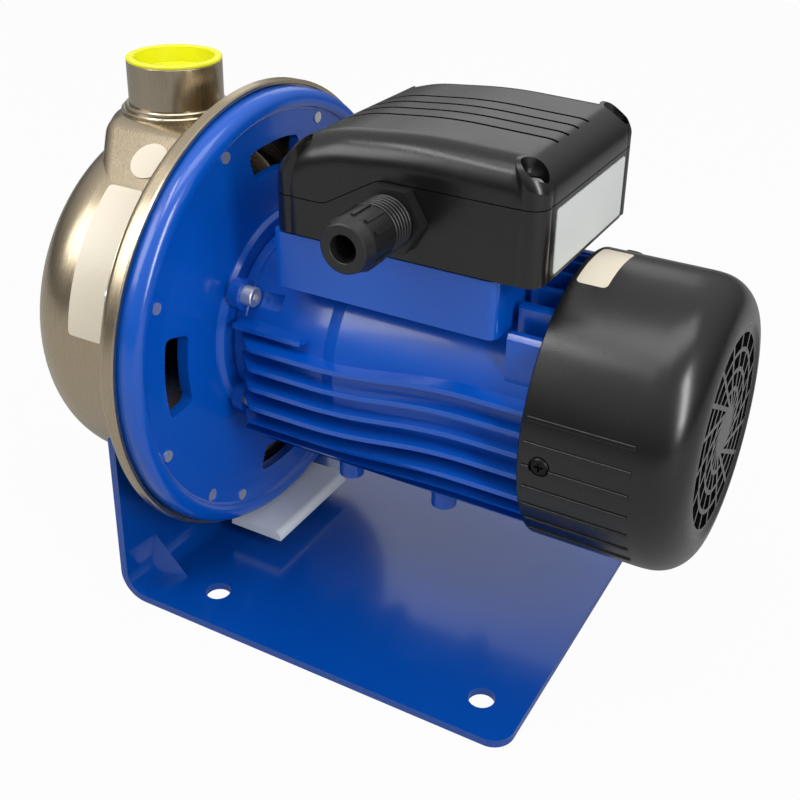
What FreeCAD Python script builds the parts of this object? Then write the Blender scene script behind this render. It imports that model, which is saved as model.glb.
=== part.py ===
"""Close-coupled centrifugal pump with a drawn stainless casing and a fan-cooled motor.

Millimetres. The part's frame has +Z up, the motor towards +X and the suction port towards -X.
Its origin is the centre of the base's four bolt holes, on the underside of the base.
Pieces that sit on the shaft line are drawn about the shaft axis, with x = 0 at the joint
between casing and motor adapter, and are then carried to the part's frame by one move.
"""
import FreeCAD
import Part
import math
import os

from FreeCAD import Vector

# The adapter's outer radius leads; the shaft line lies so high that the disc clears the floor
adapter_radius = 100.6
floor_room = 16.4
shaft_height = adapter_radius + floor_room
joint_to_pattern = 81.0

# Base, a bent plate
base_length = 190.0
base_width = 166.0
base_thickness = 3.5
base_corner = 9.0
base_bend_inside = 9.0
leg_ahead_of_joint = 24.0
leg_height = 82.0
cradle_clearance = 0.6
bolt_spacing_x = 132.0
bolt_spacing_y = 128.0
bolt_hole_radius = 5.5
dart_offset = 63.0
dart_width = 14.0
dart_reach = 18.0

# Block that carries the adapter's rim on the base
block_length = 28.0
block_width = 58.0
block_front = -3.0
block_thickness = 4.4
block_gap = 0.2
block_edge = 3.2
block_stem_length = 14.0
block_stem_width = 28.0

# Screws that hold the leg to the casing rim, with their distance sleeves
leg_screw_radius = 3.0
leg_screw_head_radius = 5.0
leg_screw_head_height = 4.0
leg_screw_angle = 38.0
sleeve_radius = 4.2

# Casing, drawn from sheet
casing_wall = 2.0
band_step = 0.6
band_radius = adapter_radius - band_step
drum_inset = 17.5
drum_radius = band_radius - drum_inset
drum_depth = 72.0
drum_corner = 26.0
band_depth = 10.0
rim_lip = 2.9
rim_radius = adapter_radius + rim_lip
rim_depth = 4.0
rim_overhang = 1.5
seat_radius = band_radius - casing_wall

# Discharge port on top
port_ahead_of_joint = 44.0
shoulder_front = 71.4
shoulder_cavity_end = 17.0
shoulder_rise = 3.5
shoulder_top = drum_radius + shoulder_rise
shoulder_slope = 41.0
shoulder_corner = 12.0
shoulder_round = 8.0
shoulder_nose = 12.0
shoulder_nose_round = 22.0
shoulder_flare = 44.0
discharge_reach = 22.3
discharge_top = shoulder_top + discharge_reach
discharge_radius = 20.7
discharge_bore = 15.885
weld_step = 1.7
weld_height = 1.8
weld_sink = 2.2
port_recess_radius = 18.6
port_recess_depth = 8.5

# Suction port on the front
suction_reach = 25.0
suction_radius = 26.0
suction_bore = 20.2
suction_weld = 4.0

# Cap pressed into the discharge port for transport
cap_lip = 1.4
cap_depth = 7.5
cap_wall = 1.2
cap_gap = 0.05

# Fill and drain plugs in the front wall
plug_offset = 48.0
plug_radius = 8.2
plug_head_radius = 9.5
plug_head_height = 6.0
plug_flange = 1.5
plug_reach = 9.0
plug_boss_radius = 12.0
plug_boss_height = 5.0
plug_gap = 0.08

# Cover behind the impeller
housing_wall = 2.5
housing_gap = 0.3
housing_radius = seat_radius - housing_gap
housing_rim_depth = 8.0
housing_depth = 37.0
housing_neck_gap = 1.9
housing_neck = drum_radius - casing_wall - housing_neck_gap
hub_recess_radius = 25.0
hub_recess_floor = 16.0
housing_bore = 9.0
ring_section = 1.85
ring_inset = 15.4
ring_radius = seat_radius - ring_inset

# Clamp screws round the rim
clamp_screws = 8
clamp_screw_inset = 11.5
clamp_screw_circle = band_radius - clamp_screw_inset
clamp_screw_radius = 2.5
clamp_head_radius = 4.2
clamp_head_height = 5.0
clamp_head_room = 0.6
clamp_first_angle = 22.5
screw_gap = 0.1

# Impeller
impeller_radius = 66.0
impeller_eye = 22.4
shroud_wall = 1.6
impeller_back = 41.0
outlet_width = 6.0
neck_front = 67.5
blade_count = 6
blade_wall = 1.8
impeller_hub_radius = 13.0
impeller_hub_back = 36.0
wear_ring_gap = 0.4
wear_ring_wall = 4.0
wear_ring_depth = 8.0

# Shaft steps, from the impeller to the fan
shaft_front = 66.0
shaft_impeller_radius = 6.0
shaft_seal_radius = 7.0
shaft_bearing_radius = 7.5
shaft_core_radius = 9.0
shaft_rear_radius = 6.0
shaft_fan_radius = 5.5
running_gap = 0.05

# Mechanical seal
seat_ring_radius = 14.0
seat_ring_length = 7.0
seal_face_radius = 12.5
seal_head_radius = 11.5

# Adapter, a cast disc
adapter_rim = 8.5
adapter_band_width = 7.4
adapter_plate = 4.5
adapter_face = 7.5
adapter_pad = 13.0
adapter_pad_radius = 50.0
window_inset = 20.0
window_depth = 13.0
window_outer = band_radius - window_inset
window_inner = window_outer - window_depth
window_half_angle = 13.4
window_count = 4
window_corner = 3.0
spigot_radius = 38.0
spigot_length = 3.0
bearing_radius = 17.5
bearing_width = 11.0
bearing_seat_wall = 3.5

# Motor frame, a die casting with fins
frame_wall = 3.0
stator_radius = 44.0
neck_outside = 43.0
neck_end = 60.0
step_end = 66.0
frame_end = 158.0
flange_thickness = 5.0
flange_radius = 42.0
lug_circle = 45.2
lug_angle = 33.0
lug_radius = 6.8
fin_count = 7
fin_pitch = 9.3
fin_top = 15.0
fin_drop = 7.0
fin_knees = (70.0, 115.0)
fin_bend = 200.0
fin_wall = 2.2
fin_circle = 57.0
fin_flat = 52.0
fin_flat_start = 42.0
fin_flat_reach = 10.0
top_fin_start = 139.0
top_fin_pitch = 10.0
foot_boss_radius = 5.5
foot_boss_y = 22.0
foot_boss_x = (60.0, 106.0)
foot_boss_drop = 58.4
ledge_end = 50.0
ledge_half_width = 47.5
ledge_top = 15.2
ledge_bevel = 11.0

# Cap screws between motor frame and adapter
flange_screw_radius = 2.5
flange_head_radius = 4.25
flange_head_height = 5.0
flange_screw_reach = 9.0

# Pedestal under the terminal box
pedestal_start = 38.0
pedestal_end = 136.0
pedestal_half_width = 46.5
pedestal_bottom = 38.0
pedestal_top = 61.5
pedestal_opening = 26.0
pedestal_round = 4.0
pedestal_core_inset = 8.0
pedestal_core_half = 24.0
box_gasket = 1.0

# Stator and rotor
core_start = 68.0
core_length = 60.0
winding_overhang = 17.0
winding_inner = 28.0
winding_outer = 41.0
air_gap = 0.4
rotor_radius = 24.6
end_ring_length = 8.0
end_ring_radius = 21.0

# Rear end shield
shield_wall = 8.0
shield_radius = 56.6
rear_bearing_radius = 16.0
rear_bearing_width = 10.0
shield_bore = 8.5
shield_windows = 4

# Fan and its cover
fan_start = 174.0
fan_radius = 52.0
fan_depth = 24.0
fan_disc = 2.5
fan_hub_radius = 10.0
fan_blades = 8
cover_start = 153.0
cover_bend = 198.0
cover_bend_round = 40.0
cover_end = 215.0
cover_radius = 59.4
cover_rear_radius = 57.5
cover_wall = 2.0
cover_corner = 16.0
grille_radius = 40.0
grille_rows = 4
grille_ribs = 18
grille_hub = 9.0
grille_bar = 1.9
grille_slant = 8.0
cover_ribs = 7
cover_rib_first = 163.0
cover_rib_pitch = 9.3
cover_rib_width = 2.0
cover_rib_height = 0.7
cover_rib_round = 0.5
cover_screw_turns = (60.0, 180.0, 300.0)
cover_screw_radius = 2.0
cover_screw_head = 3.6
cover_screw_sink = 0.3

# Terminal box
box_start = 39.0
box_end = 152.0
box_half_width = 47.5
box_wall = 2.5
box_corner = 12.0
box_post_round = 6.0
parting_low = 77.5
parting_high = 91.5
parting_rise_start = 63.0
parting_rise_end = 87.0
lid_top = 109.0
lid_top_at = 100.0
lid_crown = 200.0
lid_bend_round = 60.0
lid_rear_fall = 1.5
lid_rear_height = lid_top - lid_rear_fall
lid_bend_fall = 3.5
lid_bend_height = lid_top - lid_bend_fall
lid_bend_at = 66.0
lid_front_fall = 12.0
lid_front_height = lid_top - lid_front_fall
lid_front_round = 24.0
lid_rear_round = 14.0
lid_grooves = 4
groove_pitch = 10.0
groove_width = 1.8
groove_depth = 0.9
groove_start = 50.0
groove_end = 143.0
lid_screw_inset = 7.0
lid_screw_pocket = 5.2
lid_screw_floors = (87.5, 98.5)
lid_screw_radius = 1.9
lid_screw_head = 3.4

# Cable gland in the side of the box
gland_x = 94.0
gland_z = 79.0
gland_hex = 12.0
gland_hex_length = 5.0
gland_thread_radius = 9.8
gland_thread_length = 12.0
gland_bore = 5.8
gland_inner_radius = 8.0
gland_nut_radius = 10.4
gland_nut_length = 19.0
gland_nut_front = 9.2
gland_cable_radius = 5.2
gland_nut_gap = 0.3
gland_ribs = 12

# Inside the terminal box
capacitor_radius = 15.0
capacitor_length = 62.0
capacitor_y = 26.0
terminal_length = 44.0
terminal_width = 24.0
terminal_height = 14.0
terminal_y = -20.0
stud_radius = 2.0
stud_height = 10.0

# Rounds smaller than this are made as bevels, which take this share of the round's reach
smallest_arc = 3.0
bevel_share = 0.65

AXIS = Vector(1, 0, 0)
ORIGIN = Vector(0, 0, 0)


def corner_wire(points, put):
    """Closed outline through corners (u, v, round radius): tangent arcs, or bevels where small."""
    marks = []
    for index, (u, v, radius) in enumerate(points):
        here = Vector(u, v, 0)
        if radius <= 0:
            marks.append((here, None, here))
            continue
        before = points[index - 1]
        after = points[(index + 1) % len(points)]
        back = (Vector(before[0], before[1], 0) - here).normalize()
        ahead = (Vector(after[0], after[1], 0) - here).normalize()
        half = back.getAngle(ahead) / 2
        if radius < smallest_arc:
            cut = radius * bevel_share / math.tan(half)
            marks.append((here + back * cut, None, here + ahead * cut))
            continue
        reach = radius / math.tan(half)
        to_centre = (back + ahead).normalize()
        middle = here + to_centre * (radius / math.sin(half) - radius)
        marks.append((here + back * reach, middle, here + ahead * reach))
    edges = []
    for index, (start, middle, end) in enumerate(marks):
        if middle is not None:
            edges.append(Part.Arc(put(start), put(middle), put(end)).toShape())
        elif start.distanceToPoint(end) > 1e-6:
            edges.append(Part.LineSegment(put(start), put(end)).toShape())
        following = marks[(index + 1) % len(marks)][0]
        if end.distanceToPoint(following) > 1e-6:
            edges.append(Part.LineSegment(put(end), put(following)).toShape())
    return Part.Wire(edges)


def turned(points):
    """Solid of revolution about the X axis from an outline of (x, radius, round)."""
    wire = corner_wire(points, lambda p: Vector(p.x, 0, p.y))
    return Part.Face(wire).revolve(ORIGIN, AXIS, 360)


def extruded_up(points, bottom, height):
    """Outline (x, y, round) pushed up from z = bottom."""
    wire = corner_wire(points, lambda p: Vector(p.x, p.y, bottom))
    return Part.Face(wire).extrude(Vector(0, 0, height))


def extruded_across(points, half_width):
    """Outline (x, z, round) pushed across Y, to both sides alike."""
    wire = corner_wire(points, lambda p: Vector(p.x, -half_width, p.y))
    return Part.Face(wire).extrude(Vector(0, 2 * half_width, 0))


def extruded_along(points, start, length):
    """Outline (y, z, round) pushed along X."""
    wire = corner_wire(points, lambda p: Vector(start, p.x, p.y))
    return Part.Face(wire).extrude(Vector(length, 0, 0))


def rod(radius, start, end, y=0.0, z=0.0):
    """Cylinder along X between two stations."""
    return Part.makeCylinder(radius, end - start, Vector(start, y, z), AXIS)


def sleeve(outer, inner, start, end, y=0.0, z=0.0):
    """Tube along X between two stations."""
    overrun = 1.0
    return rod(outer, start, end, y, z).cut(rod(inner, start - overrun, end + overrun, y, z))


def post(radius, bottom, top, x=0.0, y=0.0):
    """Cylinder along Z."""
    return Part.makeCylinder(radius, top - bottom, Vector(x, y, bottom), Vector(0, 0, 1))


def box(x0, x1, y0, y1, z0, z1):
    """Rectangular block between two corners."""
    return Part.makeBox(x1 - x0, y1 - y0, z1 - z0, Vector(x0, y0, z0))


def hexagon(across_half, start, end, y=0.0, z=0.0):
    """Hexagonal prism along X, given half its width across flats."""
    corner = across_half / math.cos(math.pi / 6)
    points = []
    for index in range(6):
        angle = math.pi / 3 * index
        points.append((y + corner * math.cos(angle), z + corner * math.sin(angle), 0))
    return extruded_along(points, start, end - start)


def spun(shape, degrees):
    """Copy of a shape turned about the shaft axis."""
    copy = shape.copy()
    copy.rotate(ORIGIN, AXIS, degrees)
    return copy


def around(shape, count, first=0.0):
    """Copies of a shape spaced evenly round the shaft axis."""
    return [spun(shape, first + 360.0 / count * index) for index in range(count)]


def upright(shape, x):
    """A piece drawn along X, stood up on +Z at station x."""
    copy = shape.copy()
    copy.rotate(ORIGIN, Vector(0, 1, 0), -90)
    copy.translate(Vector(x, 0, 0))
    return copy


def sideways(shape, x, z):
    """A piece drawn along X, pointed towards -Y at station x and height z."""
    copy = shape.copy()
    copy.rotate(ORIGIN, Vector(0, 0, 1), -90)
    copy.translate(Vector(x, 0, z))
    return copy


def joined(shapes):
    """All shapes fused to one, with split faces healed."""
    first, rest = shapes[0], shapes[1:]
    return first.fuse(rest).removeSplitter()


def on_circle(radius, degrees):
    """Place (y, z) on a circle round the shaft axis."""
    angle = math.radians(degrees)
    return radius * math.cos(angle), radius * math.sin(angle)


def save(name, shape):
    """Carries a piece from the shaft line to the part's frame and writes it."""
    placed = shape.copy()
    placed.translate(Vector(-joint_to_pattern, 0, shaft_height))
    save_placed(name, placed)


def save_placed(name, shape):
    """Writes a piece that is already in the part's frame."""
    shape.exportStep("parts/" + name + ".step")


# Places that several pieces share
weld_foot = discharge_radius + 2 * weld_step
weld_bottom = shoulder_top - weld_sink
drum_front = -drum_depth
band_front = -band_depth
band_inner_face = band_front + casing_wall
lug_places = [lug_angle, 180 - lug_angle, 180 + lug_angle, 360 - lug_angle]
leg_outer = -leg_ahead_of_joint
leg_inner = leg_outer + base_thickness
core_end = core_start + core_length
shield_rear = frame_end + shield_wall
bearing_start = adapter_pad + 0.5
bearing_end = bearing_start + bearing_width
rear_bearing_start = frame_end - rear_bearing_width
barrel_radius = stator_radius + frame_wall
floor_level = pedestal_top + box_gasket
lid_screw_y = box_half_width - lid_screw_inset
lid_screw_places = [
    (x, side * lid_screw_y, floor)
    for x, floor in zip((box_start + lid_screw_inset, box_end - lid_screw_inset), lid_screw_floors)
    for side in (-1, 1)
]


# Base and its fixings

def dart():
    """Pressed gusset across the bend: a ridge from plate to leg with two sloping flanks."""
    sunk = 1.0
    toe = Vector(leg_inner + dart_reach, 0, base_thickness - sunk / 2)
    crest = Vector(leg_inner - sunk / 2, 0, base_thickness + dart_reach)
    left = Vector(leg_inner - sunk, -dart_width / 2, base_thickness - sunk)
    right = Vector(leg_inner - sunk, dart_width / 2, base_thickness - sunk)
    sides = [(toe, crest, left), (toe, right, crest), (toe, left, right), (crest, right, left)]
    faces = [Part.Face(Part.makePolygon([a, b, c, a])) for a, b, c in sides]
    return Part.Solid(Part.Shell(faces))


def base_plate():
    """Plate bent up at the front into a leg with a cradle round the drum."""
    rear = leg_outer + base_length
    outside = base_bend_inside + base_thickness
    profile = [
        (leg_outer, 0, outside),
        (rear, 0, 0),
        (rear, base_thickness, 0),
        (leg_inner, base_thickness, base_bend_inside),
        (leg_inner, leg_height, 0),
        (leg_outer, leg_height, 0),
    ]
    plate = extruded_across(profile, base_width / 2)
    for side in (-1, 1):
        wedge = dart()
        wedge.translate(Vector(0, side * dart_offset, 0))
        plate = plate.fuse(wedge)
    rounded = extruded_up([
        (leg_outer - 1, -base_width / 2, 0),
        (rear, -base_width / 2, base_corner),
        (rear, base_width / 2, base_corner),
        (leg_outer - 1, base_width / 2, 0),
    ], -1, leg_height + 2)
    plate = plate.common(rounded)
    cradle = rod(drum_radius + cradle_clearance, leg_outer - 1, leg_inner + 1, 0, shaft_height)
    plate = plate.cut(cradle)
    for x in (-1, 1):
        for y in (-1, 1):
            hole_x = joint_to_pattern + x * bolt_spacing_x / 2
            plate = plate.cut(post(bolt_hole_radius, -1, base_thickness + 1, hole_x, y * bolt_spacing_y / 2))
    for y, z in leg_screw_places():
        hole = rod(leg_screw_radius + screw_gap, leg_outer - 1, leg_inner + 1, y, z + shaft_height)
        plate = plate.cut(hole)
    plate = plate.removeSplitter()
    plate.translate(Vector(-joint_to_pattern, 0, 0))
    return plate


def leg_screw_places():
    """The two places (y, z) of the leg's screws, on the clamp screws' circle."""
    return [on_circle(clamp_screw_circle, 270 + side * leg_screw_angle) for side in (-1, 1)]


def support_block():
    """Saddle on a short stem, hollowed on top to the rounds of the casing and adapter rims."""
    top = -adapter_radius - block_gap
    bottom = top - block_thickness
    end = block_front + block_length
    saddle = extruded_across([
        (block_front, bottom, 0),
        (end, bottom, 0),
        (end, top, block_edge),
        (block_front, top, 0),
    ], block_width / 2)
    stem = box(0, block_stem_length, -block_stem_width / 2, block_stem_width / 2,
               base_thickness - shaft_height, bottom + 0.5)
    return saddle.fuse(stem).cut(rod(rim_radius + 0.3, block_front - 1, rim_overhang + 0.3)).cut(
        rod(adapter_radius + 0.3, rim_overhang, adapter_rim + 2.5)).removeSplitter()


def leg_sleeves():
    """Distance sleeves between the leg and the back of the casing rim."""
    return Part.makeCompound([
        sleeve(sleeve_radius, leg_screw_radius + screw_gap, leg_inner, band_front, y, z)
        for y, z in leg_screw_places()
    ])


def leg_screws():
    """Screws through leg, sleeve, casing rim and seal housing into the adapter."""
    tip = adapter_face - 0.5
    screws = []
    for y, z in leg_screw_places():
        head = hexagon(leg_screw_head_radius, leg_outer - leg_screw_head_height, leg_outer, y, z)
        screws.append(head.fuse(rod(leg_screw_radius, leg_outer, tip, y, z)).removeSplitter())
    return Part.makeCompound(screws)


# Wet end

def clamp_holes(radius, start, end):
    """Drills for the clamp screws and the leg screws, between two stations."""
    y, z = on_circle(clamp_screw_circle, clamp_first_angle)
    drills = around(rod(radius, start, end, y, z), clamp_screws)
    step = leg_screw_radius - clamp_screw_radius
    for y, z in leg_screw_places():
        drills.append(rod(radius + step, start, end, y, z))
    return Part.makeCompound(drills)


def shoulder(inset, end):
    """Hump under the discharge port: flat top, flanks that run into the drum, a round nose."""
    radius = drum_radius - inset
    top = shoulder_top - inset
    slope = math.radians(shoulder_slope)
    half = (radius - top * math.cos(slope)) / math.sin(slope)
    foot_y = (radius - 0.4) * math.sin(slope)
    foot_z = (radius - 0.4) * math.cos(slope)
    front = -shoulder_front + inset
    flare = -shoulder_flare + inset
    solid = extruded_along([
        (0, radius / 4, 0),
        (foot_y, foot_z, 0),
        (half, top, shoulder_corner - inset),
        (-half, top, shoulder_corner - inset),
        (-foot_y, foot_z, 0),
    ], front - 1, end - front + 1)
    nose = extruded_up([
        (end, -foot_y - 1, 0),
        (flare, -foot_y - 1, 0),
        (front, -shoulder_nose, shoulder_nose_round - inset),
        (front, shoulder_nose, shoulder_nose_round - inset),
        (flare, foot_y + 1, 0),
        (end, foot_y + 1, 0),
    ], 0, top + 1)
    solid = solid.common(nose)
    edges = [e for e in solid.Edges if e.BoundBox.XMax < flare and e.BoundBox.ZMin > foot_z - 0.5]
    return solid.makeFillet(shoulder_round - inset / 2, edges)


def pump_casing():
    """Drawn drum with a rolled rim, a hump on top and bosses for the plugs."""
    mouth = suction_bore
    outside = turned([
        (drum_front, 0, 0),
        (drum_front, drum_radius, drum_corner),
        (band_front, drum_radius, 1.5),
        (band_front, band_radius, 3.5),
        (-rim_depth, band_radius, 0.8),
        (-rim_depth, rim_radius, 1.5),
        (rim_overhang, rim_radius, 0.9),
        (rim_overhang, adapter_radius + 0.7, 0.4),
        (0, adapter_radius + 0.7, 0),
        (0, 0, 0),
    ])
    inside = turned([
        (drum_front + casing_wall, 0, 0),
        (drum_front + casing_wall, drum_radius - casing_wall, drum_corner - casing_wall),
        (band_inner_face, drum_radius - casing_wall, 1),
        (band_inner_face, seat_radius, 1.5),
        (1, seat_radius, 0),
        (1, 0, 0),
    ])
    dishes = clamp_holes(clamp_head_radius + clamp_head_room, band_front - clamp_head_height - 2, band_front + 1)
    shell = outside.fuse(shoulder(0, band_front).cut(dishes))
    for side in (-1, 1):
        boss = rod(plug_boss_radius, drum_front - plug_boss_height, drum_front + 1, 0, side * plug_offset)
        shell = shell.fuse(boss)
    shell = shell.cut(inside.fuse(shoulder(casing_wall, -shoulder_cavity_end)))
    shell = shell.cut(rod(mouth, drum_front - 1, drum_front + casing_wall + 1))
    shell = shell.cut(post(discharge_bore, shoulder_top - 12, shoulder_top + 1, -port_ahead_of_joint))
    shell = shell.cut(post(weld_foot, weld_bottom, shoulder_top + 1, -port_ahead_of_joint))
    for side in (-1, 1):
        hole = rod(plug_radius + plug_gap, drum_front - 10, drum_front + 4, 0, side * plug_offset)
        shell = shell.cut(hole)
    shell = shell.cut(clamp_holes(clamp_screw_radius + screw_gap, band_front - 1, 0))
    return shell.removeSplitter()


def discharge_nozzle():
    """Threaded socket on the shoulder, with a stepped weld collar and a wide mouth for the cap."""
    second = discharge_radius + weld_step
    socket = turned([
        (weld_bottom, discharge_bore, 0),
        (weld_bottom, weld_foot, 0),
        (shoulder_top + weld_height, weld_foot, 0.8),
        (shoulder_top + weld_height, second, 0),
        (shoulder_top + 2 * weld_height, second, 0.8),
        (shoulder_top + 2 * weld_height, discharge_radius, 0),
        (discharge_top, discharge_radius, 0.6),
        (discharge_top, port_recess_radius, 0),
        (discharge_top - port_recess_depth, port_recess_radius, 0),
        (discharge_top - port_recess_depth, discharge_bore, 0),
    ])
    return upright(socket, -port_ahead_of_joint)


def suction_nozzle():
    """Threaded socket on the casing front, with a weld fillet."""
    foot = suction_radius + suction_weld
    end = drum_front - suction_reach
    return turned([
        (drum_front, suction_bore, 0),
        (drum_front, foot, 0),
        (drum_front - 1, foot, 0),
        (drum_front - suction_weld, suction_radius, 2),
        (end, suction_radius, 1),
        (end, suction_bore, 0),
    ])


def discharge_cap():
    """Open cup with a flat lip that covers the rim of the port."""
    outer = port_recess_radius - cap_gap
    inner = outer - cap_wall
    cup = turned([
        (discharge_top - cap_depth, 0, 0),
        (discharge_top - cap_depth, outer, 1),
        (discharge_top, outer, 0),
        (discharge_top, discharge_radius, 0.3),
        (discharge_top + cap_lip, discharge_radius, 0.6),
        (discharge_top + cap_lip, inner, 0.5),
        (discharge_top - cap_depth + cap_wall, inner, 0.5),
        (discharge_top - cap_depth + cap_wall, 0, 0),
    ])
    return upright(cup, -port_ahead_of_joint)


def plug(height):
    """Hexagon plug with a flange, screwed into a boss of the casing front."""
    face = drum_front - plug_boss_height
    head = hexagon(plug_head_radius, face - plug_flange - plug_head_height, face - plug_flange, 0, height)
    flange = rod(plug_head_radius * 1.2, face - plug_flange, face, 0, height)
    stem = rod(plug_radius, face, face + plug_reach, 0, height)
    return joined([head, flange, stem])


def seal_housing():
    """Dished cover behind the impeller, with an O-ring groove and a recess for the seal."""
    rim = -housing_rim_depth
    floor = -housing_depth
    recess = -hub_recess_floor
    groove = ring_section + 0.05
    groove_floor = rim + 2 * groove
    wall = housing_wall
    dish = turned([
        (0, housing_radius, 0.6),
        (rim + 0.05, housing_radius, 2.0),
        (rim + 0.05, ring_radius + groove, 0),
        (groove_floor, ring_radius + groove, 0),
        (groove_floor, ring_radius - groove, 0),
        (rim, ring_radius - groove, 0),
        (rim, housing_neck, 0),
        (floor, housing_neck - 4, 4),
        (floor, hub_recess_radius, 1.5),
        (recess, hub_recess_radius - 2, 2),
        (recess, housing_bore, 0),
        (recess + wall, housing_bore, 0),
        (recess + wall, hub_recess_radius + 0.6, 3),
        (floor + wall, hub_recess_radius + 2.6, 1),
        (floor + wall, housing_neck - 7, 3),
        (0, housing_neck - 3, 0),
    ])
    return dish.cut(clamp_holes(clamp_screw_radius + screw_gap, rim - 1, 1)).removeSplitter()


def casing_o_ring():
    """Ring that seals the housing against the casing."""
    centre = -housing_rim_depth + ring_section + 0.05
    ring = Part.makeTorus(ring_radius, ring_section, Vector(centre, 0, 0), AXIS)
    return ring


def clamp_screw_set():
    """Socket head screws that clamp casing, housing and adapter, their ends showing behind."""
    tip = adapter_face + 0.6
    y, z = on_circle(clamp_screw_circle, clamp_first_angle)
    start = band_front
    head = rod(clamp_head_radius, start - clamp_head_height, start, y, z)
    socket = hexagon(clamp_screw_radius * 0.8, start - clamp_head_height - 1, start - clamp_head_height + 2.5, y, z)
    shank = rod(clamp_screw_radius, start, tip, y, z)
    screw = head.cut(socket).fuse(shank).removeSplitter()
    return Part.makeCompound(around(screw, clamp_screws))


def impeller():
    """Closed impeller: back shroud with hub, curved blades and front shroud with neck."""
    back = -impeller_back
    front_edge = back - 2 * shroud_wall - outlet_width
    neck_outer = impeller_eye + shroud_wall
    throat = front_edge - 8
    back_shroud = turned([
        (back, shaft_impeller_radius + running_gap, 0),
        (back, impeller_radius, 0),
        (back - shroud_wall, impeller_radius, 0),
        (back - shroud_wall, impeller_hub_radius, 3),
        (back - 12, impeller_hub_radius - 2, 1),
        (back - 12, shaft_impeller_radius + running_gap, 0),
    ])
    hub = sleeve(impeller_hub_radius, shaft_impeller_radius + running_gap, back, -impeller_hub_back)
    front_shroud = turned([
        (-neck_front, impeller_eye, 0),
        (-neck_front, neck_outer, 0),
        (throat, neck_outer, 4),
        (front_edge, impeller_radius, 0),
        (front_edge + shroud_wall, impeller_radius, 0),
        (throat + shroud_wall, impeller_eye, 4),
    ])
    channel = turned([
        (back - shroud_wall + 0.2, impeller_eye, 0),
        (back - shroud_wall + 0.2, impeller_radius, 0),
        (front_edge + shroud_wall / 2, impeller_radius, 0),
        (throat + shroud_wall / 2, impeller_eye, 0),
    ])
    blades = [spun(blade(throat), 360.0 / blade_count * i).common(channel) for i in range(blade_count)]
    return joined([back_shroud, hub, front_shroud] + blades)


def blade(start):
    """One backward-curved blade, a bent strip from the eye to the rim."""
    places = [
        on_circle(impeller_eye - 1, 0),
        on_circle((impeller_radius + impeller_eye) / 2, 28),
        on_circle(impeller_radius + 1, 75),
    ]
    middle_line = Part.Arc(*[Vector(start, y, z) for y, z in places]).toShape().Curve
    centre = middle_line.Center
    sides = []
    for side in (-1, 1):
        share = 1 + side * blade_wall / 2 / middle_line.Radius
        sides.append([centre + (Vector(start, y, z) - centre) * share for y, z in places])
    near, far = sides
    edges = [
        Part.Arc(*near).toShape(),
        Part.LineSegment(near[2], far[2]).toShape(),
        Part.Arc(far[2], far[1], far[0]).toShape(),
        Part.LineSegment(far[0], near[0]).toShape(),
    ]
    return Part.Face(Part.Wire(edges)).extrude(Vector(-impeller_back - start, 0, 0))


def impeller_nut():
    """Domed nut that holds the impeller on the shaft."""
    seat = -impeller_back - 12
    nut = hexagon(8.5, seat - 8, seat).fuse(turned([
        (seat - 14, 0, 0),
        (seat - 14, 7, 4),
        (seat - 7, 8, 0),
        (seat - 7, 0, 0),
    ]))
    thread = rod(shaft_impeller_radius - 1, seat - 11, seat + 1)
    return nut.cut(thread).removeSplitter()


def wear_ring():
    """Ring in the casing front round the impeller's neck."""
    bore = impeller_eye + shroud_wall + wear_ring_gap
    seat = drum_front + casing_wall
    return sleeve(bore + wear_ring_wall, bore, seat, seat + wear_ring_depth)


def seal_seat():
    """Ceramic ring that stands still, pressed into the housing's recess."""
    back = -hub_recess_floor
    return sleeve(seat_ring_radius, shaft_seal_radius + 1.2, back - seat_ring_length, back - 1)


def seal_boot():
    """Rubber cup that holds the ceramic ring in the recess."""
    back = -hub_recess_floor
    radius = hub_recess_radius - 2.6
    ring = sleeve(radius, seat_ring_radius, back - seat_ring_length + 1, back - 1)
    return ring.fuse(sleeve(radius - 2, housing_bore + 0.2, back - 1, back - 0.1)).removeSplitter()


def seal_head():
    """Turning half of the shaft seal: carbon face, drive collar and bellows."""
    face = -hub_recess_floor - seat_ring_length
    bore = shaft_seal_radius + running_gap
    return turned([
        (face - 0.3, bore, 0),
        (face - 0.3, seal_face_radius, 0),
        (face - 3, seal_face_radius, 0),
        (face - 3, seal_head_radius, 0),
        (face - 5, seal_head_radius - 2, 0),
        (face - 7, seal_head_radius, 0),
        (face - 9, seal_head_radius - 2, 0),
        (-impeller_hub_back + 0.1, seal_head_radius, 0),
        (-impeller_hub_back + 0.1, bore, 0),
    ])


# Motor side

def adapter_window():
    """Curved window between two radii, with rounded corners, through the adapter's plate."""
    low = math.radians(180 - window_half_angle)
    high = math.radians(180 + window_half_angle)

    def at(radius, angle):
        return Vector(-5, radius * math.cos(angle), radius * math.sin(angle))

    edges = [
        Part.Arc(at(window_inner, low), at(window_inner, math.pi), at(window_inner, high)).toShape(),
        Part.LineSegment(at(window_inner, high), at(window_outer, high)).toShape(),
        Part.Arc(at(window_outer, high), at(window_outer, math.pi), at(window_outer, low)).toShape(),
        Part.LineSegment(at(window_outer, low), at(window_inner, low)).toShape(),
    ]
    block = Part.Face(Part.Wire(edges)).extrude(Vector(adapter_pad + 10, 0, 0))
    corners = [edge for edge in block.Edges if edge.BoundBox.XLength > adapter_pad]
    return block.makeFillet(window_corner, corners)


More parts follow.
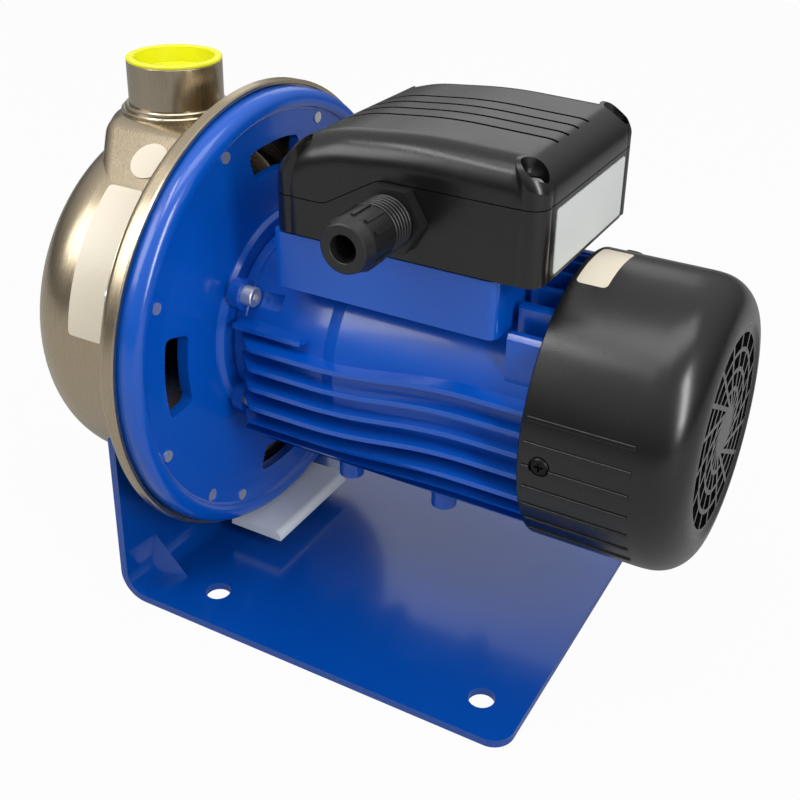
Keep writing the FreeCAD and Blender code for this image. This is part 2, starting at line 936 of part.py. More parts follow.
def motor_adapter():
    """Cast disc between pump and motor, with a raised band, windows and the front bearing seat."""
    plate_front = adapter_face - adapter_plate
    seat_outer = bearing_radius + bearing_seat_wall
    band_inner = adapter_radius - adapter_band_width
    disc = turned([
        (0, adapter_radius, 0.8),
        (adapter_rim + 2, adapter_radius, 5.2),
        (adapter_rim + 1.6, band_inner, 2.2),
        (adapter_face, band_inner - 1.2, 1.5),
        (adapter_face, window_outer + 2, 20),
        (adapter_pad - 2.5, adapter_pad_radius, 2),
        (adapter_pad, adapter_pad_radius - 2, 1),
        (adapter_pad, spigot_radius - running_gap, 0),
        (adapter_pad + spigot_length, spigot_radius - running_gap, 0.6),
        (adapter_pad + spigot_length, seat_outer, 2),
        (bearing_end + 1, seat_outer, 0.8),
        (bearing_end + 1, bearing_radius + 0.02, 0),
        (bearing_start, bearing_radius + 0.02, 0),
        (bearing_start, shaft_seal_radius + 3, 0),
        (plate_front - 5, shaft_seal_radius + 3, 0),
        (plate_front - 5, seat_outer, 2),
        (plate_front + 2, seat_outer + 5, 3),
        (plate_front, window_outer + 3, 2),
        (0, window_outer + 5, 0),
    ])
    windows = around(adapter_window(), window_count)
    disc = disc.cut(Part.makeCompound(windows))
    disc = disc.cut(clamp_holes(clamp_screw_radius + 0.02, -1, adapter_face + 3))
    holes = []
    for angle in lug_places:
        y, z = on_circle(lug_circle, angle)
        start = adapter_pad + flange_thickness - flange_screw_reach - flange_thickness
        holes.append(rod(flange_screw_radius + 0.02, start, adapter_pad + 1, y, z))
    return disc.cut(Part.makeCompound(holes)).removeSplitter()


def flange_screws():
    """Socket head cap screws through the frame's lugs into the adapter."""
    seat = adapter_pad + flange_thickness
    screws = []
    for angle in lug_places:
        y, z = on_circle(lug_circle, angle)
        head = rod(flange_head_radius, seat, seat + flange_head_height, y, z)
        head = head.makeChamfer(0.4, [e for e in head.Edges if e.BoundBox.XMin > seat + flange_head_height - 0.01])
        socket = hexagon(2.0, seat + 2, seat + flange_head_height + 1, y, z)
        shank = rod(flange_screw_radius, seat - flange_screw_reach, seat, y, z)
        screws.append(head.cut(socket).fuse(shank).removeSplitter())
    return Part.makeCompound(screws)


def fin_envelope():
    """Space that the fins may fill: a round bar with four flats that run in behind the flange."""
    start = adapter_pad + flange_thickness - 0.5
    corner = start + fin_flat_reach
    outline = [
        (start, -fin_flat_start, 0),
        (corner, -fin_flat, 6),
        (frame_end, -fin_flat, 0),
        (frame_end, fin_flat, 0),
        (corner, fin_flat, 6),
        (start, fin_flat_start, 0),
    ]
    level = extruded_up(outline, -fin_circle - 1, 2 * fin_circle + 2)
    return rod(fin_circle, start, frame_end).common(level).common(spun(level, 90))


def fin_band(height):
    """One side fin seen from the side: level, then a gentle climb, then level again."""
    start = adapter_pad + flange_thickness - 0.5
    first, second = fin_knees
    low = height - fin_drop
    half = fin_wall / 2
    outline = [
        (start, low - half, 0),
        (first, low - half, fin_bend),
        (second, height - half, fin_bend),
        (frame_end, height - half, 0),
        (frame_end, height + half, 0),
        (second, height + half, fin_bend),
        (first, low + half, fin_bend),
        (start, low + half, 0),
    ]
    return extruded_across(outline, fin_circle + 1)


def fins():
    """Fins on both sides and upright fins below, cut to their envelope."""
    start = adapter_pad + flange_thickness - 0.5
    half = fin_wall / 2
    blanks = [fin_band(fin_top - fin_pitch * index) for index in range(fin_count)]
    lowest = fin_top - fin_pitch * (fin_count - 1)
    for index in range(-3, 4):
        y = fin_pitch * index
        blanks.append(box(start, frame_end, y - half, y + half, -fin_circle - 1, lowest))
    return [blank.common(fin_envelope()) for blank in blanks]


def top_fins():
    """Short upright fins behind the pedestal, the outer ones thick for the end shield's screws."""
    fins_behind = []
    for index in range(-4, 5):
        y = top_fin_pitch * index
        half = fin_wall / 2
        top = math.sqrt(fin_circle ** 2 - y ** 2)
        if abs(index) >= 3:
            half = fin_wall
        else:
            top = top - 1
        fins_behind.append(box(top_fin_start, frame_end, y - half, y + half, 0, top - 0.6))
    return [fin.common(rod(fin_circle, top_fin_start, frame_end)) for fin in fins_behind]


def lugs():
    """Four ears of the front flange that take the cap screws."""
    ears = []
    for angle in lug_places:
        y, z = on_circle(lug_circle, angle)
        ears.append(rod(lug_radius, adapter_pad, adapter_pad + flange_thickness, y, z))
    return ears


def ledges():
    """Flat webs that stand out level from the frame behind two of the ears."""
    start = adapter_pad + flange_thickness - 0.5
    inner = ledge_half_width - ledge_bevel
    outline = [
        (start, -ledge_half_width, 0),
        (ledge_end, -ledge_half_width, 1.5),
        (ledge_end + 3, -inner, 0),
        (ledge_end + 3, inner, 0),
        (ledge_end, ledge_half_width, 1.5),
        (start, ledge_half_width, 0),
    ]
    return extruded_up(outline, ledge_top - fin_wall, fin_wall)


def foot_bosses():
    """Round bosses under the frame, where feet can be screwed on."""
    bosses = []
    for x in foot_boss_x:
        for side in (-1, 1):
            bosses.append(post(foot_boss_radius, -foot_boss_drop, -stator_radius * 0.7, x, side * foot_boss_y))
    return bosses


def pedestal():
    """Flat-topped seat for the terminal box, open in the middle for the leads."""
    block = extruded_up([
        (pedestal_start, -pedestal_half_width, pedestal_round),
        (pedestal_end, -pedestal_half_width, pedestal_round),
        (pedestal_end, pedestal_half_width, pedestal_round),
        (pedestal_start, pedestal_half_width, pedestal_round),
    ], pedestal_bottom, pedestal_top - pedestal_bottom)
    core = box(pedestal_start + pedestal_core_inset, pedestal_end - pedestal_core_inset,
               -pedestal_core_half, pedestal_core_half, 0, pedestal_bottom + 3)
    return block.fuse(core)


def motor_frame():
    """Die-cast frame: barrel with a necked front, flange ears, fins, ledges, bosses and pedestal."""
    front = adapter_pad
    barrel = turned([
        (front, 0, 0),
        (front, flange_radius, 1),
        (front + flange_thickness, flange_radius, 0),
        (front + flange_thickness + 0.5, neck_outside - 1.5, 0),
        (neck_end, barrel_radius - 1.5, 0),
        (step_end, barrel_radius, 0),
        (frame_end, barrel_radius, 0),
        (frame_end, 0, 0),
    ])
    bore = turned([
        (front - 1, 0, 0),
        (front - 1, spigot_radius, 0),
        (front + spigot_length + 1, spigot_radius, 0),
        (neck_end, barrel_radius - 1.5 - frame_wall, 0),
        (step_end, stator_radius, 0),
        (frame_end + 1, stator_radius, 0),
        (frame_end + 1, 0, 0),
    ])
    solids = [barrel] + fins() + top_fins() + lugs() + [ledges()] + foot_bosses() + [pedestal()]
    casting = joined(solids)
    leads = box(
        (pedestal_start + pedestal_end - pedestal_opening) / 2,
        (pedestal_start + pedestal_end + pedestal_opening) / 2,
        -pedestal_opening / 2, pedestal_opening / 2, 0, pedestal_top + 1)
    casting = casting.cut(bore).cut(leads)
    drills = []
    for angle in lug_places:
        y, z = on_circle(lug_circle, angle)
        drills.append(rod(flange_screw_radius + screw_gap, front - 1, front + flange_thickness + 1, y, z))
        drills.append(rod(flange_head_radius + 0.6, front + flange_thickness, front + 22, y, z))
    return casting.cut(Part.makeCompound(drills)).removeSplitter()


def stator_core():
    """Laminated ring pressed into the frame."""
    return sleeve(stator_radius - running_gap, rotor_radius + air_gap, core_start, core_end)


def stator_winding():
    """The two winding heads that stand out of the stator."""
    heads = []
    for start, end in ((core_start - winding_overhang, core_start), (core_end, core_end + winding_overhang)):
        low, high = start, end
        heads.append(turned([
            (low, winding_inner, 4),
            (low, winding_outer, 4),
            (high, winding_outer, 0 if end == core_start else 4),
            (high, winding_inner, 0 if end == core_start else 4),
        ]))
    return Part.makeCompound(heads)


def rotor_core():
    """Laminated rotor with its cast end rings, on the shaft."""
    body = sleeve(rotor_radius, shaft_core_radius + 0.02, core_start, core_end)
    front = sleeve(end_ring_radius, shaft_core_radius + 0.02, core_start - end_ring_length, core_start)
    rear = sleeve(end_ring_radius, shaft_core_radius + 0.02, core_end, core_end + end_ring_length)
    return joined([body, front, rear])


def shaft():
    """Stepped shaft from the impeller nut's thread to the fan."""
    return turned([
        (-shaft_front + 3, 0, 0),
        (-shaft_front + 3, shaft_impeller_radius - 1.05, 0.5),
        (-impeller_back - 12, shaft_impeller_radius - 1.05, 0),
        (-impeller_back - 12, shaft_impeller_radius, 0),
        (-impeller_hub_back, shaft_impeller_radius, 0),
        (-impeller_hub_back, shaft_seal_radius, 0),
        (bearing_start - 2, shaft_seal_radius, 0),
        (bearing_start - 2, shaft_bearing_radius, 0),
        (bearing_end + 0.5, shaft_bearing_radius, 0),
        (bearing_end + 0.5, shaft_core_radius, 0),
        (rear_bearing_start - 0.5, shaft_core_radius, 0),
        (rear_bearing_start - 0.5, shaft_rear_radius, 0),
        (shield_rear + 2, shaft_rear_radius, 0),
        (shield_rear + 2, shaft_fan_radius, 0),
        (fan_start + fan_depth + 3, shaft_fan_radius, 0.8),
        (fan_start + fan_depth + 3, 0, 0),
    ])


def bearing(outer, bore, start, width):
    """Ball bearing with a shield groove on each side."""
    lip = (outer - bore) * 0.28
    return turned([
        (start, bore + running_gap, 0.4),
        (start, bore + lip, 0),
        (start + 0.6, bore + lip, 0),
        (start + 0.6, outer - lip, 0),
        (start, outer - lip, 0),
        (start, outer, 0.6),
        (start + width, outer, 0.6),
        (start + width, outer - lip, 0),
        (start + width - 0.6, outer - lip, 0),
        (start + width - 0.6, bore + lip, 0),
        (start + width, bore + lip, 0),
        (start + width, bore + running_gap, 0.4),
    ])


def slinger():
    """Rubber ring on the shaft that throws off leaked water before the bearing."""
    return turned([
        (-10, shaft_seal_radius + 0.02, 0),
        (-10, shaft_seal_radius + 4, 1),
        (-5, shaft_seal_radius + 2, 0.5),
        (-4, shaft_seal_radius + 2, 0),
        (-4, shaft_seal_radius + 0.02, 0),
    ])


def rear_end_shield():
    """Cast cover behind the motor with the rear bearing seat and threaded ears for the fan cover."""
    seat_wall = rear_bearing_radius + bearing_seat_wall
    plate = turned([
        (frame_end, shield_bore, 0),
        (frame_end, rear_bearing_radius + 0.02, 0),
        (rear_bearing_start, rear_bearing_radius + 0.02, 0),
        (rear_bearing_start, seat_wall, 0.8),
        (frame_end - 3, seat_wall, 2),
        (frame_end - 3, stator_radius - 0.1, 0.8),
        (frame_end, stator_radius - 0.1, 0),
        (frame_end, shield_radius, 0),
        (shield_rear, shield_radius, 1.5),
        (shield_rear, shield_bore, 0),
    ])
    pocket = turned([
        (shield_rear - 2, rear_bearing_radius + 6, 1),
        (shield_rear - 2, stator_radius - 4, 1),
        (shield_rear + 1, stator_radius - 4, 0),
        (shield_rear + 1, rear_bearing_radius + 6, 0),
    ])
    ribs = around(box(shield_rear - 3, shield_rear + 1, -1.5, 1.5, 0, shield_radius), 8)
    plate = plate.cut(pocket.cut(Part.makeCompound(ribs)))
    return plate.cut(cover_screw_drills(cover_screw_radius + 0.02)).removeSplitter()


def cover_screw_drills(radius):
    """Drills that point at the shaft axis, where the fan cover is screwed on."""
    middle = frame_end + shield_wall / 2
    drill = Part.makeCylinder(radius, 13, Vector(middle, cover_radius - 11.5, 0), Vector(0, 1, 0))
    return Part.makeCompound([spun(drill, angle) for angle in cover_screw_turns])


def fan_cover_screws():
    """Pan head screws sunk into the fan cover's side."""
    middle = frame_end + shield_wall / 2
    seat = cover_radius - cover_screw_sink - 0.8
    head = Part.makeCylinder(cover_screw_head, 1.7, Vector(middle, seat, 0), Vector(0, 1, 0))
    top = [edge for edge in head.Edges if edge.BoundBox.YMin > seat + 1.69]
    head = head.makeChamfer(0.6, top)
    cross = box(middle - 1.8, middle + 1.8, seat + 0.7, seat + 3, -0.4, 0.4).fuse(
        box(middle - 0.4, middle + 0.4, seat + 0.7, seat + 3, -1.8, 1.8))
    shank = Part.makeCylinder(cover_screw_radius, 9, Vector(middle, seat - 9, 0), Vector(0, 1, 0))
    screw = head.cut(cross).fuse(shank).removeSplitter()
    return Part.makeCompound([spun(screw, angle) for angle in cover_screw_turns])


def fan():
    """Radial fan with straight blades, which works in either direction."""
    end = fan_start + fan_depth
    bore = shaft_fan_radius + 0.02
    disc = turned([
        (fan_start, bore, 0),
        (fan_start, fan_radius, 1),
        (fan_start + fan_disc, fan_radius, 1),
        (fan_start + fan_disc, fan_hub_radius, 3),
        (end, fan_hub_radius - 1, 1),
        (end, bore, 0),
    ])
    vane = extruded_across([
        (fan_start + 1, fan_hub_radius - 1.5, 0),
        (end, fan_hub_radius + 8, 2),
        (end, fan_radius - 4, 4),
        (fan_start + 1, fan_radius - 0.5, 0),
    ], 1.0)
    return joined([disc] + around(vane, fan_blades, 22.5))


def grille_cut():
    """Openings of the rear grille: rows of windows between rings and slanted ribs."""
    pitch = (grille_radius - grille_hub) / grille_rows
    rows = []
    for row in range(grille_rows):
        inner = grille_hub + pitch * row
        rows.append(sleeve(inner + pitch - grille_bar / 2, inner + grille_bar / 2,
                           cover_end - 2 * cover_wall, cover_end + 1))
    rib = box(cover_end - 3 * cover_wall, cover_end + 2,
              grille_slant - grille_bar / 2, grille_slant + grille_bar / 2, 0, grille_radius + 2)
    ribs = around(rib, grille_ribs)
    return Part.makeCompound(rows).cut(Part.makeCompound(ribs))


def fan_cover():
    """Moulded cover with fine ribs on one side, a rounded rear edge and a sunk grille."""
    inner = cover_radius - cover_wall
    shell = turned([
        (cover_start, inner, 0),
        (cover_start, cover_radius, 0.8),
        (cover_bend, cover_radius, cover_bend_round),
        (cover_end, cover_rear_radius, cover_corner),
        (cover_end, grille_radius + 3, 1),
        (cover_end - 1, grille_radius + 1, 0.5),
        (cover_end - 1, 0, 0),
        (cover_end - 1 - cover_wall, 0, 0),
        (cover_end - 1 - cover_wall, cover_rear_radius - cover_wall, cover_corner - cover_wall),
    ])
    crest = cover_radius + cover_rib_height
    rib = box(cover_start + 2, cover_bend - 2, cover_radius - 1, crest, -cover_rib_width / 2, cover_rib_width / 2)
    rib = rib.makeFillet(cover_rib_round, [e for e in rib.Edges if e.BoundBox.YMin > crest - 0.1])
    ribs = [spun(rib, cover_rib_first + cover_rib_pitch * index) for index in range(cover_ribs)]
    shell = shell.fuse(ribs)
    middle = frame_end + shield_wall / 2
    seat = cover_radius - cover_screw_sink
    pocket = Part.makeCylinder(cover_screw_head + 0.5, 5, Vector(middle, seat - 0.8, 0), Vector(0, 1, 0))
    shell = shell.cut(Part.makeCompound([spun(pocket, angle) for angle in cover_screw_turns]))
    shell = shell.cut(cover_screw_drills(cover_screw_radius + screw_gap))
    return shell.cut(grille_cut()).removeSplitter()


# Terminal box

def box_form(inset, bottom, round_off):
    """Outer form of box and lid together, drawn in by a wall, with rounded side edges."""
    half = box_half_width - inset
    solid = extruded_across([
        (box_start + inset, bottom, 0),
        (box_end - inset, bottom, 0),
        (box_end - inset, lid_rear_height - inset, lid_rear_round - inset),
        (lid_top_at, lid_top - inset, lid_crown),
        (lid_bend_at, lid_bend_height - inset, lid_bend_round),
        (box_start + inset, lid_front_height - inset, lid_front_round - inset),
    ], half)
    edges = [e for e in solid.Edges if abs(abs(e.CenterOfMass.y) - half) < 0.01 and e.BoundBox.ZMax > bottom + 0.01]
    return solid.makeFillet(round_off - inset, edges)


def box_posts():
    """Round corner posts of box and lid, which stand proud of the rounded corners."""
    posts = [post(lid_screw_inset - 0.1, floor_level, lid_top, x, y) for x, y, floor in lid_screw_places]
    form = box_form(0, floor_level, box_post_round)
    return [one.common(form) for one in posts]


def box_shell():
    """Walls of box and lid in one, with their corner posts."""
    hollow = box_form(0, floor_level, box_corner).cut(box_form(box_wall, floor_level + box_wall, box_corner))
    return joined([hollow] + box_posts())


def parting_solid(lift):
    """Everything under the line where lid and box meet, raised by a small amount."""
    x0 = box_start - 5
    x1 = box_end + 5
    low = parting_low + lift
    high = parting_high + lift
    return extruded_across([
        (x0, floor_level - 5, 0),
        (x1, floor_level - 5, 0),
        (x1, high, 0),
        (parting_rise_end, high, 10),
        (parting_rise_start, low, 10),
        (x0, low, 0),
    ], box_half_width + 5)


def terminal_box():
    """Lower half of the terminal box with its floor, corner posts and gland hole."""
    shell = box_shell().common(parting_solid(0))
    gland_hole = sideways(rod(gland_thread_radius - 1.6, box_half_width - 8, box_half_width + 2), gland_x, gland_z)
    flat = sideways(rod(gland_hex + 2.6, box_half_width - 2 * box_wall, box_half_width - 0.01), gland_x, gland_z)
    shell = shell.fuse(flat.common(parting_solid(-0.5))).cut(gland_hole)
    leads = box(
        (pedestal_start + pedestal_end - pedestal_opening) / 2,
        (pedestal_start + pedestal_end + pedestal_opening) / 2,
        -pedestal_opening / 2, pedestal_opening / 2, floor_level - 1, floor_level + box_wall + 1)
    shell = shell.cut(leads)
    drills = [post(lid_screw_radius + 0.02, parting_low - 10, lid_top, x, y) for x, y, floor in lid_screw_places]
    return shell.cut(Part.makeCompound(drills)).removeSplitter()


def lid_grooves_cut():
    """Shallow grooves that follow the top of the lid."""
    strips = []
    for index in range(lid_grooves):
        y = groove_pitch * (index - (lid_grooves - 1) / 2)
        half = groove_width / 2
        strips.append(box(groove_start, groove_end, y - half, y + half, parting_high, lid_top + 2))
    return Part.makeCompound(strips).cut(box_form(groove_depth, floor_level, box_corner))


def terminal_box_lid():
    """Domed lid with grooves on top and sunk corners for its screws."""
    shell = box_shell().cut(parting_solid(0.4))
    pockets = []
    drills = []
    for x, y, floor in lid_screw_places:
        pockets.append(post(lid_screw_pocket, floor, lid_top + 2, x, y))
        drills.append(post(lid_screw_radius + screw_gap, parting_low - 10, lid_top, x, y))
    shell = shell.cut(Part.makeCompound(pockets)).cut(Part.makeCompound(drills))
    return shell.cut(lid_grooves_cut()).removeSplitter()


def lid_screws():
    """Cross head screws in the corners of the lid."""
    screws = []
    for x, y, floor in lid_screw_places:
        head = post(lid_screw_head, floor, floor + 2.2, x, y)
        rim = [edge for edge in head.Edges if edge.BoundBox.ZMin > floor + 2.19]
        head = head.makeChamfer(0.7, rim)
        cross = box(x - 1.9, x + 1.9, y - 0.4, y + 0.4, floor + 1, floor + 3)
        cross = cross.fuse(box(x - 0.4, x + 0.4, y - 1.9, y + 1.9, floor + 1, floor + 3))
        shank = post(lid_screw_radius, parting_low - 8, floor, x, y)
        screws.append(head.cut(cross).fuse(shank).removeSplitter())
    return Part.makeCompound(screws)


def box_gasket_sheet():
    """Gasket between pedestal and terminal box."""
    inset = 2.0
    sheet = extruded_up([
        (box_start + 4, -pedestal_half_width + inset, 4),
        (pedestal_end - inset, -pedestal_half_width + inset, 4),
        (pedestal_end - inset, pedestal_half_width - inset, 4),
        (box_start + 4, pedestal_half_width - inset, 4),
    ], pedestal_top, box_gasket)
    leads = box(
        (pedestal_start + pedestal_end - pedestal_opening) / 2,
        (pedestal_start + pedestal_end + pedestal_opening) / 2,
        -pedestal_opening / 2, pedestal_opening / 2, pedestal_top - 1, pedestal_top + box_gasket + 1)
    return sheet.cut(leads)


def capacitor():
    """Run capacitor that lies on the floor of the box."""
    start = (box_start + box_end - capacitor_length) / 2
    z = floor_level + box_wall + capacitor_radius
    can = rod(capacitor_radius, start, start + capacitor_length, capacitor_y, z)
    ends = [edge for edge in can.Edges if edge.BoundBox.XLength < 0.01]
    return can.makeChamfer(1.2, ends)


def terminal_block():
    """Moulded block that carries the motor's terminals."""
    middle = (box_start + box_end) / 2
    floor = floor_level + box_wall
    half = terminal_length / 2
    block = box(middle - half, middle + half, terminal_y - terminal_width / 2, terminal_y + terminal_width / 2,
                floor, floor + terminal_height)
    for x in (-1, 1):
        wall_x = middle + x * terminal_length / 6
        block = block.fuse(box(wall_x - 0.8, wall_x + 0.8, terminal_y - terminal_width / 2,
                               terminal_y + terminal_width / 2, floor, floor + terminal_height + 4))
    return block.removeSplitter()


def terminal_studs():
    """Six brass studs with their nuts, in two rows on the block."""
    middle = (box_start + box_end) / 2
    base = floor_level + box_wall + terminal_height
    studs = []
    for column in (-1, 0, 1):
        for row in (-1, 1):
            x = middle + column * terminal_length / 3
            y = terminal_y + row * terminal_width / 4
            nut = post(stud_radius + 1.8, base, base + 3, x, y)
            studs.append(nut.fuse(post(stud_radius, base, base + stud_height, x, y)).removeSplitter())
    return Part.makeCompound(studs)


# Cable gland

def gland_body():
    """Gland body: hexagon against the box, thread outside and a stub that takes the nut."""
    face = box_half_width + 0.05
    hex_end = face + gland_hex_length
    thread_end = hex_end + gland_thread_length
    hex_part = hexagon(gland_hex, face, hex_end)
    thread = rod(gland_thread_radius, hex_end, thread_end)
    stub = rod(gland_inner_radius, thread_end, thread_end + gland_nut_length * 0.45)
    tail = rod(gland_thread_radius - 1.7, face - 7, face)
    body = joined([hex_part, thread, stub, tail])
    body = body.cut(rod(gland_bore, face - 9, thread_end + gland_nut_length))
    return sideways(body, gland_x, gland_z)


def gland_seal():
    """Rubber sleeve between the gland's body and its nut, which closes on a cable."""
    face = box_half_width + 0.05
    thread_end = face + gland_hex_length + gland_thread_length
    start = thread_end + gland_nut_length * 0.45 + 0.1
    end = thread_end + gland_nut_length - 4.4
    seal = sleeve(gland_inner_radius - 1.2, gland_cable_radius + 0.3, start, end)
    return sideways(seal, gland_x, gland_z)


def gland_nut():
    """Ribbed dome nut, open in front for the cable."""
    face = box_half_width + 0.05
    start = face + gland_hex_length + gland_thread_length + gland_nut_gap
    end = start - gland_nut_gap + gland_nut_length
    inner = gland_inner_radius + gland_nut_gap
    body = turned([
        (start, inner, 0),
        (start, gland_nut_radius, 0.6),
        (end - 5, gland_nut_radius, 0.6),
        (end, gland_nut_front, 0.9),
        (end, gland_cable_radius, 0.4),
        (end - 3.5, gland_cable_radius, 0),
        (end - 4, inner, 0),
    ])
    rib = box(start + 1, end - 6.5, -0.8, 0.8, gland_nut_radius - 1, gland_nut_radius + 0.7)
    return sideways(joined([body] + around(rib, gland_ribs)), gland_x, gland_z)


def build():
    """Makes every piece and writes each to a file of its own."""
    os.makedirs("parts", exist_ok=True)
    save_placed("base_plate", base_plate())
    save("support_block", support_block())
    save("leg_sleeves", leg_sleeves())
    save("leg_screws", leg_screws())
    save("pump_casing", pump_casing())
    save("discharge_nozzle", discharge_nozzle())
    save("suction_nozzle", suction_nozzle())
    save("discharge_cap", discharge_cap())
    save("fill_plug", plug(plug_offset))
    save("drain_plug", plug(-plug_offset))
    save("seal_housing", seal_housing())
    save("casing_o_ring", casing_o_ring())
    save("clamp_screws", clamp_screw_set())
    save("impeller", impeller())
    save("impeller_nut", impeller_nut())
    save("wear_ring", wear_ring())
    save("seal_seat", seal_seat())
    save("seal_boot", seal_boot())
    save("seal_head", seal_head())
    save("slinger", slinger())
    save("motor_adapter", motor_adapter())
    save("flange_screws", flange_screws())
    save("motor_frame", motor_frame())
    save("stator_core", stator_core())
    save("stator_winding", stator_winding())
    save("rotor_core", rotor_core())
    save("shaft", shaft())
    save("front_bearing", bearing(bearing_radius, shaft_bearing_radius, bearing_start, bearing_width))
    save("rear_bearing", bearing(rear_bearing_radius, shaft_rear_radius, rear_bearing_start, rear_bearing_width))
    save("rear_end_shield", rear_end_shield())
    save("fan", fan())
    save("fan_cover", fan_cover())
    save("fan_cover_screws", fan_cover_screws())
    save("box_gasket", box_gasket_sheet())
    save("terminal_box", terminal_box())
    save("terminal_box_lid", terminal_box_lid())
    save("lid_screws", lid_screws())
    save("capacitor", capacitor())
    save("terminal_block", terminal_block())
    save("terminal_studs", terminal_studs())
    save("gland_body", gland_body())
    save("gland_seal", gland_seal())
    save("gland_nut", gland_nut())


build()
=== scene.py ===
# %% [markdown]
# # A centrifugal pump on its base
# The pump's solid pieces come finished from a CAD model, each as one object at its real place.
# This script gives them their finishes, adds the small trim that a CAD model leaves out, and sets
# up floor, light and camera. Lengths are in metres, with +Z up and the motor towards +X.

# %% Load the solid pieces
import math

import bmesh
import bpy
from mathutils import Matrix, Vector


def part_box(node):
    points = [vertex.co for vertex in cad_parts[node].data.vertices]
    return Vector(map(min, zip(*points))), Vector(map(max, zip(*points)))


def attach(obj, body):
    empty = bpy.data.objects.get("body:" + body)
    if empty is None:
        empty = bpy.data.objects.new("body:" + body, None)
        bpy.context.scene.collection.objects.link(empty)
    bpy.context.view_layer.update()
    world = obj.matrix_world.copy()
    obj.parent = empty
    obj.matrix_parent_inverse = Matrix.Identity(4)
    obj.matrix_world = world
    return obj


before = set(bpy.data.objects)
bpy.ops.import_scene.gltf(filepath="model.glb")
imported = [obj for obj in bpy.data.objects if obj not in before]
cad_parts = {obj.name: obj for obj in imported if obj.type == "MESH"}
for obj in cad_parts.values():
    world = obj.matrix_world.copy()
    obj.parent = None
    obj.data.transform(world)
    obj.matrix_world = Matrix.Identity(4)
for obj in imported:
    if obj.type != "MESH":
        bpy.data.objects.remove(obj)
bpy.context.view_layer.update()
scene = bpy.context.scene
MM = 0.001
print("solid pieces:", len(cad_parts))

# %% [markdown]
# ## Where the shaft lies
# Most pieces are round about the shaft, so its height above the floor is needed again and again.
# It could be typed in, but it is read off the shaft's own box, and so it follows the CAD model.

# %% Read the shaft's height
shaft_low, shaft_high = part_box("shaft")
shaft_height = (shaft_low.z + shaft_high.z) / 2
print("shaft height", round(shaft_height, 4))

# %% [markdown]
# ## Colours and nodes
# A colour on screen is written as sRGB hex, but a shader reckons in linear light, so one function
# turns the first into the second. A second function adds a node with its inputs and its settings.
# An input goes by its name, or by its number where two of them share a name. It is either a plain
# value or an output of another node, and then it becomes a link.

# %% Helpers for colours and nodes
def linear(hex_code):
    """Linear RGBA of an sRGB hex colour such as "1f4fa0"."""
    channels = [int(hex_code[i:i + 2], 16) / 255 for i in (0, 2, 4)]
    return [c / 12.92 if c <= 0.04045 else ((c + 0.055) / 1.055) ** 2.4 for c in channels] + [1.0]


def add(tree, kind, inputs, **settings):
    """A new node with its inputs and its settings."""
    node = tree.nodes.new(kind)
    for key, value in settings.items():
        setattr(node, key, value)
    for key, value in inputs.items():
        if isinstance(value, bpy.types.NodeSocket):
            tree.links.new(value, node.inputs[key])
        else:
            node.inputs[key].default_value = value
    return node


def new_material(name):
    """An empty material and its node tree."""
    material = bpy.data.materials.new(name)
    material.use_nodes = True
    material.node_tree.nodes.clear()
    return material, material.node_tree


# %% [markdown]
# ## Blue enamel
# Base, adapter and motor frame are sprayed with a deep blue stoving enamel. A sprayed coat isn't
# flat: it dries with a faint waviness, called orange peel, about 2 mm from crest to crest. It could
# be modelled, but it is far too shallow for that, so a noise drives a bump. The enamel is a
# dielectric with a coat of clear gloss, so its colour comes from below the surface.

# %% Blue enamel
peel_width = 2.2 * MM
gloss_patch = 9 * MM


def blue_enamel(name, colour, roughness, peel_depth):
    """Sprayed enamel whose orange peel has a given depth."""
    material, tree = new_material(name)
    place = add(tree, "ShaderNodeTexCoord", {}).outputs["Object"]
    peel = add(tree, "ShaderNodeTexNoise",
               {"Vector": place, "Scale": 1 / peel_width, "Detail": 1.0, "Roughness": 0.5})
    relief = add(tree, "ShaderNodeBump",
                 {"Height": peel.outputs["Fac"], "Distance": peel_depth, "Strength": 1.0})
    patches = add(tree, "ShaderNodeTexNoise",
                  {"Vector": place, "Scale": 1 / gloss_patch, "Detail": 2.0, "Roughness": 0.5})
    gloss = add(tree, "ShaderNodeMapRange",
                {"Value": patches.outputs["Fac"], "To Min": roughness - 0.04,
                 "To Max": roughness + 0.05})
    enamel = add(tree, "ShaderNodeBsdfPrincipled",
                 {"Base Color": linear(colour), "IOR": 1.5, "Roughness": gloss.outputs["Result"],
                  "Coat Weight": 0.35, "Coat Roughness": 0.1, "Normal": relief.outputs["Normal"]})
    add(tree, "ShaderNodeOutputMaterial", {"Surface": enamel.outputs["BSDF"]})
    return material


# On rolled sheet the enamel lies flat. It is given a darker navy than the castings, as painted
# shade on the base.
enamel_sheet_painted_shade = blue_enamel("blue_stoving_enamel_on_sheet_painted_shade", "003f94", 0.2, 0.004 * MM)
# The castings keep the brighter blue of the same enamel, without that painted shade.
enamel_casting = blue_enamel("blue_stoving_enamel_on_casting", "004eb2", 0.24, 0.02 * MM)
print("enamels:", enamel_sheet_painted_shade.name, enamel_casting.name)

# %% [markdown]
# ## Drawn stainless steel
# The casing is deep drawn and then brushed while it turns, which leaves fine lines round the
# shaft. The lines are stretched noise: its grains are fine along the shaft and long round it. The
# metal's own anisotropy could give the highlight, but not the single lines, so noise was chosen.
# To stretch it round, the pattern is laid out over station, angle and distance from the shaft and
# not over X, Y and Z. The ports are brushed lengthwise, and plain stretching does for them.

# %% Where the brushed lines run
radian_counts_as = 1.2 * MM  # with lines 0.5 mm wide, each is then about 24 degrees long
upright_squeeze = 0.02  # lines fifty times as long as they are wide


